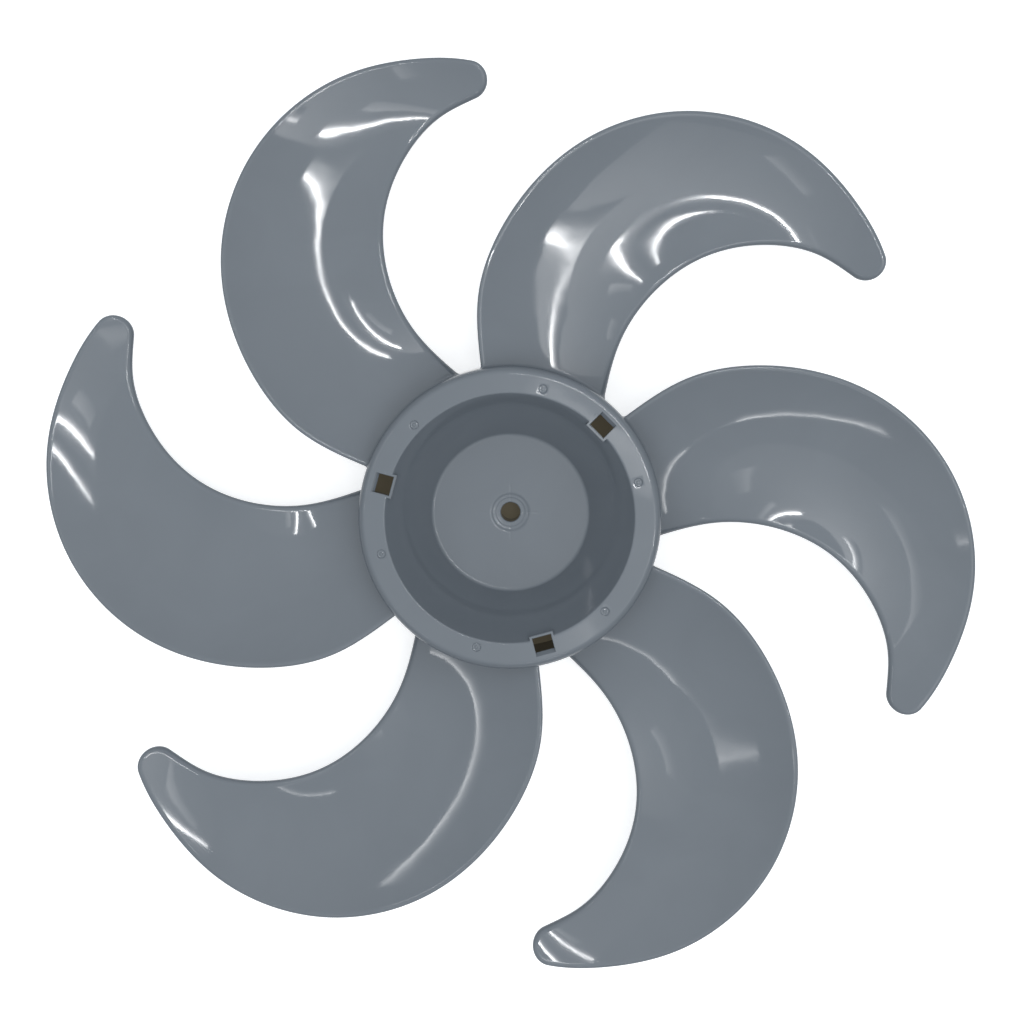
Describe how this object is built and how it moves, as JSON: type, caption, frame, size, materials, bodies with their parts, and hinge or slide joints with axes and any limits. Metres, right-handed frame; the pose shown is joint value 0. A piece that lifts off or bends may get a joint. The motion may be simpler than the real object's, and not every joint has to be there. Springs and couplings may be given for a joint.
{
  "type": "pedestal fan blade",
  "caption": "Glossy grey moulded rotor of a pedestal fan, with a dished hub, a shaft bore and curved, swept blades.",
  "frame": {"origin": "centre of the shaft axis in the plane of the hub's back rim", "axes": "+Z along the shaft axis, out of the front of the hub; X and Y across the blades"},
  "size_m": [0.372, 0.3676, 0.044],
  "materials": {
    "plastic": "gloss"
  },
  "bodies": {
    "root": {"fan_blade": "plastic"}
  },
  "joints": []
}
